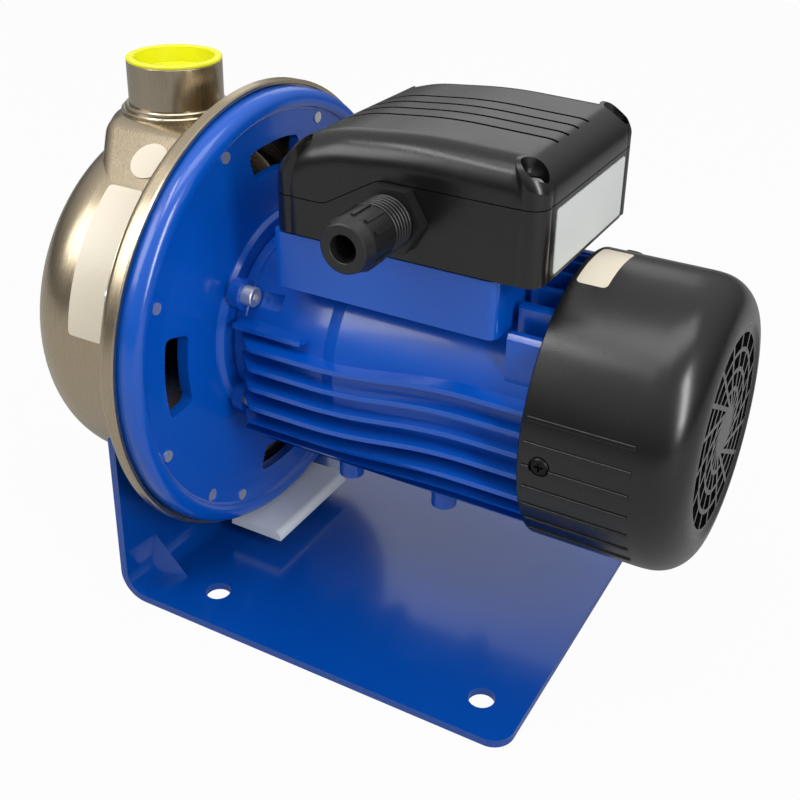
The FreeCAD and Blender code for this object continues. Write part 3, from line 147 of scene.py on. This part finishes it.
def turned_lines(tree):
    """The point as station, shrunken angle about the shaft, and distance from the shaft."""
    place = add(tree, "ShaderNodeTexCoord", {}).outputs["Object"]
    centred = add(tree, "ShaderNodeMapping", {"Vector": place, "Location": (0, 0, -shaft_height)})
    parts = add(tree, "ShaderNodeSeparateXYZ", {"Vector": centred.outputs["Vector"]}).outputs
    angle = add(tree, "ShaderNodeMath", {0: parts["Y"], 1: parts["Z"]}, operation="ARCTAN2")
    across = add(tree, "ShaderNodeCombineXYZ", {"X": 0.0, "Y": parts["Y"], "Z": parts["Z"]})
    distance = add(tree, "ShaderNodeVectorMath", {0: across.outputs["Vector"]}, operation="LENGTH")
    unrolled = add(tree, "ShaderNodeCombineXYZ",
                   {"X": parts["X"], "Y": angle.outputs["Value"], "Z": distance.outputs["Value"]})
    shrunk = add(tree, "ShaderNodeMapping",
                 {"Vector": unrolled.outputs["Vector"], "Scale": (1.0, radian_counts_as, 1.0)})
    return shrunk.outputs["Vector"]


def upright_lines(tree):
    """The point with its height shrunken."""
    place = add(tree, "ShaderNodeTexCoord", {}).outputs["Object"]
    shrunk = add(tree, "ShaderNodeMapping",
                 {"Vector": place, "Scale": (1.0, 1.0, upright_squeeze)})
    return shrunk.outputs["Vector"]


# %% Stainless steel
line_depth = 0.008 * MM


def stainless(name, colour, roughness, lines_run, line_width):
    """Brushed steel, with a function that says where its lines run."""
    material, tree = new_material(name)
    lines = add(tree, "ShaderNodeTexNoise",
                {"Vector": lines_run(tree), "Scale": 1 / line_width, "Detail": 3.0,
                 "Roughness": 0.7}).outputs["Fac"]
    gloss = add(tree, "ShaderNodeMapRange",
                {"Value": lines, "To Min": roughness - 0.08, "To Max": roughness + 0.1})
    relief = add(tree, "ShaderNodeBump",
                 {"Height": lines, "Distance": line_depth, "Strength": 0.6})
    steel = add(tree, "ShaderNodeBsdfPrincipled",
                {"Base Color": linear(colour), "Metallic": 1.0,
                 "Roughness": gloss.outputs["Result"], "Normal": relief.outputs["Normal"]})
    add(tree, "ShaderNodeOutputMaterial", {"Surface": steel.outputs["BSDF"]})
    return material


# Annealed and brushed, the drawn sheet is a warm straw grey with highlights drawn out in rings.
steel_drawn = stainless("brushed_stainless_casing", "b6a78e", 0.25, turned_lines, 0.5 * MM)
# The turned sockets and plugs are a little greyer, with streaks that run up and down.
steel_port = stainless("brushed_stainless_port", "aba08c", 0.24, upright_lines, 0.6 * MM)
print("stainless steels:", steel_drawn.name, steel_port.name)

# %% [markdown]
# ## Moulded plastics, rubber and ceramic
# Terminal box, fan cover and gland are black glass-filled nylon. Its mould was spark eroded, which
# leaves a fine grain, about 0.5 mm, that breaks up reflections. Such a grain could be an image, but
# a noise in real millimetres needs none, and has no seams. The other plastics, the rubbers and the
# seal's hard faces differ only in colour, gloss and grain, so one function makes them all.

# %% Plastics, rubber and ceramic
touch_patch = 14 * MM


def plastic(name, colour, roughness, grain_mm, depth_mm, ior=1.5):
    """A moulded or lapped dielectric, with a grain of given width and depth in millimetres."""
    material, tree = new_material(name)
    place = add(tree, "ShaderNodeTexCoord", {}).outputs["Object"]
    grain = add(tree, "ShaderNodeTexNoise",
                {"Vector": place, "Scale": 1 / (grain_mm * MM), "Detail": 1.0, "Roughness": 0.5})
    relief = add(tree, "ShaderNodeBump",
                 {"Height": grain.outputs["Fac"], "Distance": depth_mm * MM, "Strength": 1.0})
    patches = add(tree, "ShaderNodeTexNoise",
                  {"Vector": place, "Scale": 1 / touch_patch, "Detail": 2.0, "Roughness": 0.5})
    gloss = add(tree, "ShaderNodeMapRange",
                {"Value": patches.outputs["Fac"], "To Min": roughness - 0.04,
                 "To Max": roughness + 0.05})
    body = add(tree, "ShaderNodeBsdfPrincipled",
               {"Base Color": linear(colour), "IOR": ior, "Roughness": gloss.outputs["Result"],
                "Normal": relief.outputs["Normal"]})
    add(tree, "ShaderNodeOutputMaterial", {"Surface": body.outputs["BSDF"]})
    return material


# Filled nylon is near black, with a soft grey sheen on every rounded edge.
nylon_black = plastic("black_glass_filled_nylon", "0e0e0d", 0.26, 0.5, 0.006, 1.53)
# The gland's nylon has no glass in it and looks duller.
nylon_gland = plastic("black_nylon_gland", "141416", 0.42, 0.5, 0.006, 1.53)
# Polyethylene is waxy: a strong yellow under a broad, weak highlight.
polyethylene_yellow = plastic("yellow_polyethylene_cap", "dcdc14", 0.38, 1.2, 0.006, 1.51)
# Natural polypropylene is milky and almost matt.
polypropylene_white = plastic("natural_polypropylene", "d6d5cc", 0.5, 1.0, 0.01)
# Vulcanised rubber is matt and swallows the light.
epdm_black = plastic("black_epdm_rubber", "1c1c1d", 0.6, 0.4, 0.01)
# The block under the adapter is pale rubber with a coarse, dull skin.
rubber_grey = plastic("light_grey_rubber_block", "cdd3d8", 0.62, 1.5, 0.05)
# Carbon graphite is dark and silky where it was lapped.
carbon_graphite = plastic("carbon_graphite_seal_face", "2a2a2c", 0.35, 0.5, 0.002)
# Lapped alumina is ivory with a wet shine, as it bends light more than plastic does.
alumina = plastic("lapped_alumina_ceramic", "e2ded2", 0.2, 0.5, 0.001, 1.76)
# Polyester label film is smooth and cream, and shines a little.
label_film = plastic("cream_polyester_label", "ddd3c0", 0.32, 3.0, 0.002)
# The rating plate's satin film is a cool, even grey.
plate_film = plastic("satin_polyester_plate", "cfd3d1", 0.36, 1.0, 0.001)
print("black plastic:", nylon_black.name)

# %% [markdown]
# ## Plain metals
# Screws are zinc plated, the bearing cover is raw die-cast aluminium, the motor's core is a stack
# of varnished sheets and its coils are varnished copper wire. Only the screws are seen from
# outside, so none of them needs a pattern of its own: a fine noise gives the dull spots of zinc,
# the skin of a casting, and, made deep and coarse, the lie of the wires.

# %% Plain metals
def metal(name, colour, roughness, grain_mm, depth_mm):
    """A metal, with a grain of given width and depth in millimetres."""
    material, tree = new_material(name)
    place = add(tree, "ShaderNodeTexCoord", {}).outputs["Object"]
    grain = add(tree, "ShaderNodeTexNoise",
                {"Vector": place, "Scale": 1 / (grain_mm * MM), "Detail": 2.0,
                 "Roughness": 0.5}).outputs["Fac"]
    gloss = add(tree, "ShaderNodeMapRange",
                {"Value": grain, "To Min": roughness - 0.05, "To Max": roughness + 0.07})
    relief = add(tree, "ShaderNodeBump",
                 {"Height": grain, "Distance": depth_mm * MM, "Strength": 0.5})
    skin = add(tree, "ShaderNodeBsdfPrincipled",
               {"Base Color": linear(colour), "Metallic": 1.0,
                "Roughness": gloss.outputs["Result"], "Normal": relief.outputs["Normal"]})
    add(tree, "ShaderNodeOutputMaterial", {"Surface": skin.outputs["BSDF"]})
    return material


# Zinc plate is pale, cool and rather dull.
zinc = metal("zinc_plated_steel", "e2e4e5", 0.46, 1.0, 0.004)
# Blackened steel keeps only a dark gloss.
steel_black = metal("black_oxide_steel", "2b2b2c", 0.35, 0.8, 0.004)
# A raw casting is grey with a grainy skin.
aluminium_cast = metal("die_cast_aluminium", "a9abad", 0.48, 0.8, 0.03)
# Ground steel is bright and nearly a mirror.
steel_ground = metal("ground_bearing_steel", "bdbebf", 0.2, 0.5, 0.002)
# Varnish leaves the stack of sheets dark grey.
steel_core = metal("varnished_core_sheets", "6a6a6d", 0.5, 0.5, 0.01)
# Varnished wire is a deep orange brown, and its strands make it bumpy.
copper_wire = metal("varnished_copper_wire", "b4622f", 0.4, 1.2, 0.3)
# Turned brass is yellow and clean.
brass = metal("turned_brass", "c8a24e", 0.25, 0.6, 0.003)
print("screw metals:", zinc.name, steel_black.name)

# %% [markdown]
# ## Which piece has which finish
# A finish could be set piece by piece, but then a forgotten one stays grey and nobody notices. So
# one table names the pieces of each finish, and what is missing from it is printed.

# %% Give each solid its finish
finishes = {
    # The base plate takes the darker copy of the enamel, which paints shade onto it.
    enamel_sheet_painted_shade: ["base_plate"],
    enamel_casting: ["motor_adapter", "motor_frame"],
    steel_drawn: ["pump_casing", "seal_housing", "impeller", "impeller_nut"],
    steel_port: ["discharge_nozzle", "suction_nozzle", "fill_plug", "drain_plug"],
    nylon_black: ["terminal_box", "terminal_box_lid", "fan_cover", "wear_ring"],
    nylon_gland: ["gland_body", "gland_nut"],
    polyethylene_yellow: ["discharge_cap"],
    polypropylene_white: ["fan", "terminal_block", "capacitor"],
    rubber_grey: ["support_block"],
    epdm_black: ["casing_o_ring", "seal_boot", "slinger", "gland_seal", "box_gasket"],
    zinc: ["leg_sleeves", "leg_screws", "clamp_screws", "flange_screws", "lid_screws"],
    steel_black: ["fan_cover_screws"],
    steel_ground: ["front_bearing", "rear_bearing", "shaft"],
    steel_core: ["stator_core", "rotor_core"],
    copper_wire: ["stator_winding"],
    aluminium_cast: ["rear_end_shield"],
    carbon_graphite: ["seal_head"],
    alumina: ["seal_seat"],
    brass: ["terminal_studs"],
}
for material, names in finishes.items():
    for name in names:
        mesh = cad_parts[name].data
        mesh.materials.clear()
        mesh.materials.append(material)
unfinished = set(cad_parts) - {name for names in finishes.values() for name in names}
print("materials:", len(finishes), "pieces without a finish:", sorted(unfinished))

# %% [markdown]
# ## Helper for new pieces
# A new piece starts as a bmesh. Its place could be the object's own, but then a pattern on object
# coordinates would move with it. So the place is worked into the mesh, the object stays at the
# origin, and it rides on the body of the pump that carries it.

# %% Helper for new pieces
def piece_from(shape, name, material, body, smooth=True):
    """Turns a bmesh into an object that rides on a body."""
    bmesh.ops.remove_doubles(shape, verts=shape.verts, dist=1e-7)
    bmesh.ops.recalc_face_normals(shape, faces=shape.faces)
    mesh = bpy.data.meshes.new(name)
    shape.to_mesh(mesh)
    shape.free()
    mesh.materials.append(material)
    mesh.polygons.foreach_set("use_smooth", [smooth] * len(mesh.polygons))
    thing = bpy.data.objects.new(name, mesh)
    scene.collection.objects.link(thing)
    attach(thing, body)
    print(name, "faces:", len(mesh.polygons))
    return thing


# %% [markdown]
# ## Thread on the cable gland
# The gland's body has a coarse plastic thread between its hexagon and its nut. A true helix could
# be made with the screw tool, but at this size a thread reads as a row of ridges. So each turn is
# a plain ring: a small four-sided outline, and all of them are spun once round the gland's axis.

# %% Gland thread
body_low, body_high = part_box("gland_body")
nut_low, nut_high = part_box("gland_nut")
gland_x = (body_low.x + body_high.x) / 2
gland_z = (body_low.z + body_high.z) / 2
thread_turns = 6
thread_pitch = 1.9 * MM
thread_start = nut_high.y + 0.6 * MM
thread_foot = gland_x + 9.5 * MM
thread_crest = gland_x + 10.5 * MM
foot_width = 1.5 * MM
crest_from = 0.55 * MM
crest_to = 0.95 * MM
thread_steps = 48

thread = bmesh.new()
for turn in range(thread_turns):
    y = thread_start + turn * thread_pitch
    outline = [(thread_foot, y), (thread_foot, y + foot_width),
               (thread_crest, y + crest_to), (thread_crest, y + crest_from)]
    corners = [thread.verts.new((x, station, gland_z)) for x, station in outline]
    for corner, following in zip(corners, corners[1:] + corners[:1]):
        thread.edges.new((corner, following))
bmesh.ops.spin(thread, geom=thread.verts[:] + thread.edges[:], cent=(gland_x, 0, gland_z),
               axis=(0, 1, 0), angle=math.tau, steps=thread_steps, use_merge=True)
piece_from(thread, "gland_thread", nylon_gland, "pump")

# %% [markdown]
# ## Rating plate
# A motor carries a rating plate. Here its place holds a blank one, on the rear face of the
# terminal box. It could be a patch of colour on the box, but a real plate has an edge that catches
# the light, so it is a thin cube whose four upright corners are bevelled round.

# %% Rating plate
box_low, box_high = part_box("terminal_box")
plate_width = 70 * MM
plate_height = 25 * MM
plate_thickness = 0.4 * MM
plate_corner = 1.5 * MM
plate_above_floor = 2 * MM
film_gap = 0.02 * MM

plate = bmesh.new()
bmesh.ops.create_cube(plate, size=1.0)
bmesh.ops.scale(plate, vec=(plate_thickness, plate_width, plate_height), verts=plate.verts)
through_edges = [edge for edge in plate.edges
                 if abs((edge.verts[0].co - edge.verts[1].co).x) > 1e-6]
bmesh.ops.bevel(plate, geom=through_edges, offset=plate_corner, segments=4, profile=0.5,
                affect="EDGES", material=-1)
plate_place = Vector((box_high.x + plate_thickness / 2 + film_gap, 0,
                      box_low.z + plate_above_floor + plate_height / 2))
bmesh.ops.translate(plate, vec=plate_place, verts=plate.verts)
piece_from(plate, "rating_plate", plate_film, "pump", smooth=False)

# %% [markdown]
# ## Curved labels
# Fan cover and drum carry stickers, which stay blank here. A flat one could be shrunk onto the
# surface, but both surfaces are plain rounds about the shaft, so the film is laid out by angle. It
# starts as a grid, two points wide. Near its two ends each row draws in along a quarter circle,
# which rounds the corners. At last the film is given its thickness, inwards from its outer face.

# %% Curved labels
label_corner = 2 * MM
label_thickness = 0.1 * MM
corner_rows = 10
straight_rows = 24


def curved_label(name, radius, start, end, first_angle, last_angle):
    """Film with round corners wrapped round the shaft line, between two stations and two angles."""
    film_radius = radius + film_gap
    length = math.radians(last_angle - first_angle) * film_radius
    rounding = [label_corner * (1 - math.cos(math.radians(90 * i / corner_rows)))
                for i in range(corner_rows + 1)]
    straight = [label_corner + (length - 2 * label_corner) * i / straight_rows
                for i in range(1, straight_rows)]
    rows = rounding + straight + [length - a for a in reversed(rounding)]
    film = bmesh.new()
    bmesh.ops.create_grid(film, x_segments=1, y_segments=len(rows) - 1, size=1.0)
    for point in film.verts:
        along = rows[round((point.co.y + 1) / 2 * (len(rows) - 1))]
        short = max(label_corner - min(along, length - along), 0)
        inset = label_corner - math.sqrt(label_corner ** 2 - short ** 2)
        angle = math.radians(first_angle) + along / film_radius
        point.co = (end - inset if point.co.x > 0 else start + inset,
                    film_radius * math.cos(angle), shaft_height + film_radius * math.sin(angle))
    bmesh.ops.recalc_face_normals(film, faces=film.faces)
    bmesh.ops.solidify(film, geom=film.faces[:], thickness=-label_thickness)
    return piece_from(film, name, label_film, "pump", smooth=False)


casing_low, casing_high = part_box("pump_casing")
cover_low, cover_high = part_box("fan_cover")
joint = casing_high.x - 1.5 * MM  # where the casing's rim lies on the adapter
fan_cover_radius = 59.4 * MM
drum_radius = 82.5 * MM
curved_label("fan_cover_label", fan_cover_radius, cover_low.x + 2.2 * MM,
             cover_low.x + 14.5 * MM, 77.5, 108.5)
curved_label("drum_label", drum_radius, joint - 41 * MM, joint - 23 * MM, 126.8, 173.1)

# %% [markdown]
# ## Round sticker
# A round sticker sits on the sloping flank of the hump under the upper port. The flank is flat, so
# a thin disc turned to lie on it is enough, and no curved film is needed. Its place is worked out
# from the flank's slope, which touches the drum's circle, and from the sticker's own angle.

# %% Round sticker on the hump's flank
sticker_radius = 8.5 * MM
sticker_lift = 0.08 * MM
sticker_station = joint - 28.2 * MM
sticker_angle = math.radians(27.4)
flank_slope = math.radians(41)
flank_normal = Vector((0, -math.sin(flank_slope), math.cos(flank_slope)))
sticker_distance = drum_radius / math.cos(flank_slope - sticker_angle)
sticker_place = Vector((sticker_station, -sticker_distance * math.sin(sticker_angle),
                        shaft_height + sticker_distance * math.cos(sticker_angle)))

sticker = bmesh.new()
bmesh.ops.create_cone(sticker, cap_ends=True, cap_tris=False, segments=64,
                      radius1=sticker_radius, radius2=sticker_radius, depth=label_thickness)
facing = flank_normal.to_track_quat("Z", "Y").to_matrix().to_4x4()
seat = Matrix.Translation(sticker_place + flank_normal * sticker_lift)
bmesh.ops.transform(sticker, matrix=seat @ facing, verts=sticker.verts)
piece_from(sticker, "round_sticker", label_film, "pump", smooth=False)

# %% [markdown]
# ## Floor
# The pump stands on white paper. A floor lit until it is white would also light the pump from
# below, and its black and blue sides, which mirror the floor, would turn pale. So the floor is a
# mid grey to the pump, and the camera alone sees it glow, nearly as bright as the background.

# %% Floor
floor_half = 1.5
floor_glow = 0.96
floor_shape = bmesh.new()
bmesh.ops.create_grid(floor_shape, x_segments=1, y_segments=1, size=floor_half)
floor_mesh = bpy.data.meshes.new("floor")
floor_shape.to_mesh(floor_mesh)
floor_shape.free()
floor = bpy.data.objects.new("floor", floor_mesh)
scene.collection.objects.link(floor)

floor_material, tree = new_material("white_paper_sweep")
matte = add(tree, "ShaderNodeBsdfPrincipled", {"Base Color": linear("a8a8a8"), "Roughness": 0.9})
glow = add(tree, "ShaderNodeEmission", {"Color": (1, 1, 1, 1), "Strength": 1.0})
seen = add(tree, "ShaderNodeLightPath", {}).outputs["Is Camera Ray"]
share = add(tree, "ShaderNodeMath", {0: seen, 1: floor_glow}, operation="MULTIPLY")
blend = add(tree, "ShaderNodeMixShader",
            {0: share.outputs["Value"], 1: matte.outputs["BSDF"], 2: glow.outputs["Emission"]})
add(tree, "ShaderNodeOutputMaterial", {"Surface": blend.outputs["Shader"]})
floor_mesh.materials.append(floor_material)
print("floor across:", 2 * floor_half, "m")

# %% [markdown]
# ## World
# The room is white to the camera and softer as a lamp. It could be one even grey, but a real room
# is brighter overhead, and glossy plastic shows that: so its light rises from the horizon up.

# %% World
room_low = 0.12
room_high = 0.75
bright_from = 0.75  # the height, out of 1 straight up, from which the room is at its brightest
world = bpy.data.worlds.new("studio")
scene.world = world
world.use_nodes = True
tree = world.node_tree
tree.nodes.clear()
heading = add(tree, "ShaderNodeTexCoord", {}).outputs["Generated"]
height = add(tree, "ShaderNodeSeparateXYZ", {"Vector": heading}).outputs["Z"]
room = add(tree, "ShaderNodeMapRange",
           {"Value": height, "From Min": 0.0, "From Max": bright_from, "To Min": room_low,
            "To Max": room_high})
seen = add(tree, "ShaderNodeLightPath", {}).outputs["Is Camera Ray"]
strength = add(tree, "ShaderNodeMix", {0: seen, 2: room.outputs["Result"], 3: 1.0})
sky = add(tree, "ShaderNodeBackground", {"Color": (1, 1, 1, 1), "Strength": strength.outputs[0]})
add(tree, "ShaderNodeOutputWorld", {"Surface": sky.outputs["Background"]})
print("room light:", room_low, "to", room_high)

# %% [markdown]
# ## Lamps
# The long, soft highlights on enamel and plastic come from windows and strips, not from points. So
# each lamp is a rectangle that faces the pump, and a longer side gives a longer highlight.

# %% Lamps
def soft_lamp(name, place, width, height, power):
    """A rectangular soft lamp that faces the middle of the pump, with its power in watts."""
    lamp = bpy.data.lights.new(name, "AREA")
    lamp.shape = "RECTANGLE"
    lamp.size = width
    lamp.size_y = height
    lamp.energy = power
    thing = bpy.data.objects.new(name, lamp)
    thing.location = place
    thing.rotation_euler = (pump_middle - Vector(place)).to_track_quat("-Z", "Y").to_euler()
    scene.collection.objects.link(thing)
    print(name, power, "W")


pump_middle = Vector((0, 0, 0.12))
soft_lamp("top_window", (0.1, -0.1, 1.3), 1.0, 0.5, 4.5)
soft_lamp("left_window", (-0.9, -0.9, 0.9), 0.7, 0.7, 6)
soft_lamp("right_strip", (1.1, -0.5, 0.7), 0.25, 0.9, 11)
soft_lamp("ceiling_strip", (-0.49, -0.5, 1.2), 0.6, 0.12, 2.6)
soft_lamp("back_window", (-0.55, 1.05, 0.75), 0.9, 0.5, 1.0)

# %% [markdown]
# ## Camera
# The camera could be placed by eye, but a slightly wrong distance bends every ellipse. So its
# place, turn and focal length were solved from the photograph's own straight edges and circles. A
# small lens shift puts the vanishing point where the photograph has it.

# %% Camera
sensor = 36.0
focal_pixels = 1173.8
image_size = 800
centre_pixel = (429.5, 290.1)
azimuth, elevation, roll = (math.radians(a) for a in (27.34, 25.13, 1.70))
camera_place = Vector((0.20846, -0.39615, 0.35413))

camera = bpy.data.cameras.new("camera")
camera.sensor_width = sensor
camera.lens = focal_pixels / image_size * sensor
camera.shift_x = (image_size / 2 - centre_pixel[0]) / image_size
camera.shift_y = (centre_pixel[1] - image_size / 2) / image_size
camera_object = bpy.data.objects.new("camera", camera)
scene.collection.objects.link(camera_object)
forward = Vector((-math.sin(azimuth) * math.cos(elevation),
                  math.cos(azimuth) * math.cos(elevation), -math.sin(elevation)))
level = Vector((math.cos(azimuth), math.sin(azimuth), 0))
rise = level.cross(forward)
right = level * math.cos(roll) + rise * math.sin(roll)
up = rise * math.cos(roll) - level * math.sin(roll)
turn = Matrix((right, up, -forward)).transposed().to_4x4()
camera_object.matrix_world = Matrix.Translation(camera_place) @ turn
scene.camera = camera_object
scene.view_settings.view_transform = "Standard"
print("lens:", round(camera.lens, 2), "mm")
